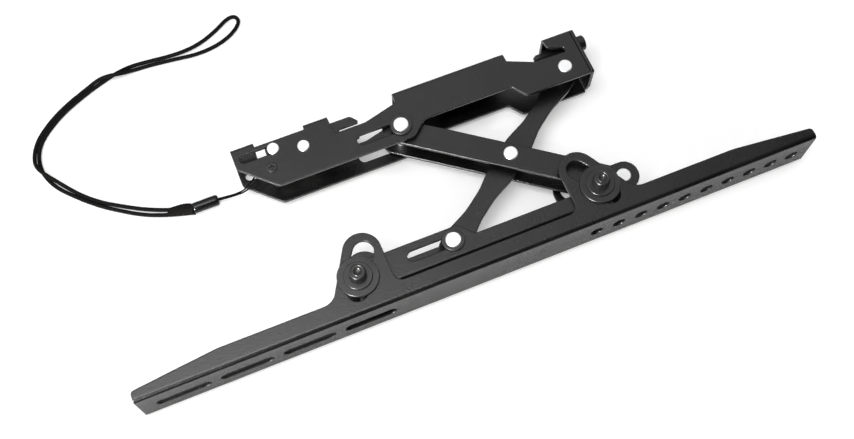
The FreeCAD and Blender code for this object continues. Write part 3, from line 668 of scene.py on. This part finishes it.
yarn = {
    "dark": (0.0015, 0.0015, 0.0015, 1), "light": (0.011, 0.01, 0.0095, 1),
    "turns": 190.0, "strands": 5.0, "bump": 1.0, "relief": 0.0003,
    "roughness": 0.9, "shine": -0.2, "specular": 0.06,
}


def makeWovenCord():
    material, tree, surface = newMaterial("wovenCord")
    weave = placeGroup(tree, braid, Turns=yarn["turns"], Strands=yarn["strands"])
    shade = weave.outputs["Shade"]
    tree.links.new(blendColour(tree, yarn["dark"], yarn["light"], shade), surface.inputs["Base Color"])
    rough = reckon(tree, "MULTIPLY_ADD", shade, yarn["shine"], yarn["roughness"])
    tree.links.new(rough, surface.inputs["Roughness"])
    surface.inputs["Specular IOR Level"].default_value = yarn["specular"]
    addRelief(tree, surface, weave.outputs["Height"], yarn["bump"], yarn["relief"])
    return material


finishValues = {
    "powderCoat": {
        # dark, light, and the edges' lighter colour: partly rubbing from handling, partly painted
        # highlight
        "colours": [(0.0014, 0.0014, 0.0016, 1), (0.006, 0.0058, 0.0055, 1), (0.035, 0.034, 0.032, 1)],
        "roughness": 0.26, "metallic": 0.0, "specular": 0.5, "bump": 0.9, "edge": 0.0009, "rubAndHighlight": 0.6,
        "scales": {"Grain": 1000.0, "Fleck": 1100.0, "Cloud": 14.0}, "fleckShare": 1.6,
    },
    "brightZinc": {
        "colours": [(0.88, 0.89, 0.91, 1), (0.97, 0.97, 0.96, 1), (0.98, 0.98, 0.98, 1)],
        "roughness": 0.34, "metallic": 0.9, "specular": 0.5, "bump": 0.06, "edge": 0.0004, "rubAndHighlight": 0.5,
        "scales": {"Grain": 2600.0, "Fleck": 900.0, "Cloud": 160.0}, "fleckShare": 0.3,
    },
    "blackZinc": {
        "colours": [(0.012, 0.012, 0.013, 1), (0.03, 0.029, 0.028, 1), (0.16, 0.155, 0.15, 1)],
        "roughness": 0.3, "metallic": 0.25, "specular": 0.5, "bump": 0.12, "edge": 0.00035, "rubAndHighlight": 0.6,
        "scales": {"Grain": 2200.0, "Fleck": 1300.0, "Cloud": 90.0}, "fleckShare": 0.5,
    },
    "blackNylon": {
        "colours": [(0.01, 0.01, 0.01, 1), (0.022, 0.022, 0.021, 1), (0.04, 0.04, 0.04, 1)],
        "roughness": 0.5, "metallic": 0.0, "specular": 0.4, "bump": 0.1, "edge": 0.0003, "rubAndHighlight": 0.3,
        "scales": {"Grain": 900.0, "Fleck": 600.0, "Cloud": 70.0}, "fleckShare": 0.2,
    },
    "springWire": {
        "colours": [(0.38, 0.37, 0.36, 1), (0.58, 0.57, 0.55, 1), (0.7, 0.69, 0.67, 1)],
        "roughness": 0.3, "metallic": 1.0, "specular": 0.5, "bump": 0.08, "edge": 0.00015, "rubAndHighlight": 0.4,
        "scales": {"Grain": 3000.0, "Fleck": 1500.0, "Cloud": 220.0}, "fleckShare": 0.2,
    },
    "cordSleeve": {
        "colours": [(0.004, 0.004, 0.0042, 1), (0.009, 0.009, 0.0094, 1), (0.02, 0.02, 0.02, 1)],
        "roughness": 0.16, "metallic": 0.0, "specular": 0.26, "bump": 0.08, "edge": 0.0003, "rubAndHighlight": 0.2,
        "scales": {"Grain": 1300.0, "Fleck": 700.0, "Cloud": 120.0}, "fleckShare": 0.2,
    },
    "wovenPouch": {
        "colours": [(0.0015, 0.0015, 0.0015, 1), (0.011, 0.0095, 0.009, 1), (0.012, 0.011, 0.011, 1)],
        "roughness": 0.85, "metallic": 0.0, "specular": 0.06, "bump": 1.0, "edge": 0.0002, "rubAndHighlight": 0.1,
        "scales": {"Grain": 1200.0, "Fleck": 1000.0, "Cloud": 600.0}, "fleckShare": 0.6,
    },
}
made = {name: makeFinish(name, **values) for name, values in finishValues.items()}
wovenCord = makeWovenCord()
finishes = {
    "black_powder_coat": made["powderCoat"],
    "bright_zinc": made["brightZinc"],
    "black_fastener": made["blackZinc"],
    "black_nylon": made["blackNylon"],
    "spring_steel": made["springWire"],
    "black_cord": wovenCord,
    "black_sleeve": made["cordSleeve"],
}
slotOf = {part["node"]: part["material_slot"] for part in frame["record"]["subparts"]}
for name, piece in nodes.items():
    piece.data.materials.clear()
    piece.data.materials.append(finishes[slotOf[name]])
for piece, material in (
    (pullCord, wovenCord), (pinLoop, wovenCord),
    (cordSleeve, made["cordSleeve"]), (gatheredWeave, made["wovenPouch"]),
):
    piece.data.materials.append(material)
print("stage: materials")

socketScrew = {
    "headRadius": 5.1, "headHeight": 6.3, "shankRadius": 3.0, "segments": 60,
    # share of the head's radius, drop below its top
    "shoulder": [
        (0.985, 1.5), (0.965, 0.9), (0.93, 0.4), (0.88, 0.12),
        (0.84, 0.02), (0.74, 0.0), (0.7, 0.25), (0.62, 0.28),
    ],
    # share of the socket's radius, drop below the top
    "mouth": [(1.75, 0.24), (1.6, 0.02), (1.42, 0.0), (1.12, 0.5)],
    # the foot's chamfer: share of the head's radius, height
    "footChamfer": (0.96, 0.3),
    # the knurled band's height over the foot and drop below the top
    "knurl": (0.6, 1.6), "knurlDepth": 0.03,
    # the hexagon: its upper edge's drop, its narrowing to the bottom, the bottom's cone
    "socketSides": 6, "socketRadius": 1.55, "socketEdge": 0.55, "socketDepth": 0.9,
    "socketTaper": 0.97, "coneShare": 0.2, "coneDepth": 0.3, "crease": 25,
}


# A socket screw with a knurled side, a rounded top edge and a chamfered hexagon socket.
def makeSocketScrew(name, node):
    lowest, highest = (Vector(corner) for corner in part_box(node))
    middle = (lowest + highest) / 2
    top = highest.z
    foot = top - socketScrew["headHeight"] * millimetre
    radius = socketScrew["headRadius"] * millimetre
    socket = socketScrew["socketRadius"] * millimetre
    floor = top - socketScrew["socketDepth"] * millimetre
    shape = bmesh.new()

    def ring(size, height, segments=socketScrew["segments"]):
        return addRing(shape, Vector((middle.x, middle.y, height)), (0, 0, 1), size, segments)

    shank = socketScrew["shankRadius"] * millimetre
    knurlFoot, knurlDrop = socketScrew["knurl"]
    knurled = [ring(radius, foot + knurlFoot * millimetre), ring(radius, top - knurlDrop * millimetre)]
    footShare, footHeight = socketScrew["footChamfer"]
    outside = [ring(shank, lowest.z), ring(shank, foot)]
    outside += [ring(radius * footShare, foot), ring(radius, foot + footHeight * millimetre)]
    outside += knurled
    for share, drop in socketScrew["shoulder"]:
        outside.append(ring(radius * share, top - drop * millimetre))
    for share, drop in socketScrew["mouth"]:
        outside.append(ring(socket * share, top - drop * millimetre))
    sides = socketScrew["socketSides"]
    coneFloor = floor - socketScrew["coneDepth"] * millimetre
    outside.append(ring(socket, top - socketScrew["socketEdge"] * millimetre, sides))
    outside.append(ring(socket * socketScrew["socketTaper"], floor, sides))
    outside.append(ring(socket * socketScrew["coneShare"], coneFloor, sides))
    skinRings(shape, outside)
    inward = 1 - socketScrew["knurlDepth"]
    for verts in knurled:
        bmesh.ops.scale(
            shape, vec=(inward, inward, 1), verts=verts[::2],
            space=Matrix.Translation((-middle.x, -middle.y, 0)))
    piece = finishPiece(name, shape, "tilt_bracket", node, socketScrew["crease"])
    piece.data.materials.append(made["blackZinc"])
    return piece


makeSocketScrew("lowerSocketScrew", "lower_tilt_bolt")
makeSocketScrew("upperSocketScrew", "upper_tilt_bolt")
print("stage: screws")


# The latch's spring gets a mesh of its own.
def pressSpring():
    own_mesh(nodes["latch_spring"])


pressSpring()
print("stage: spring")

bpy.context.view_layer.update()
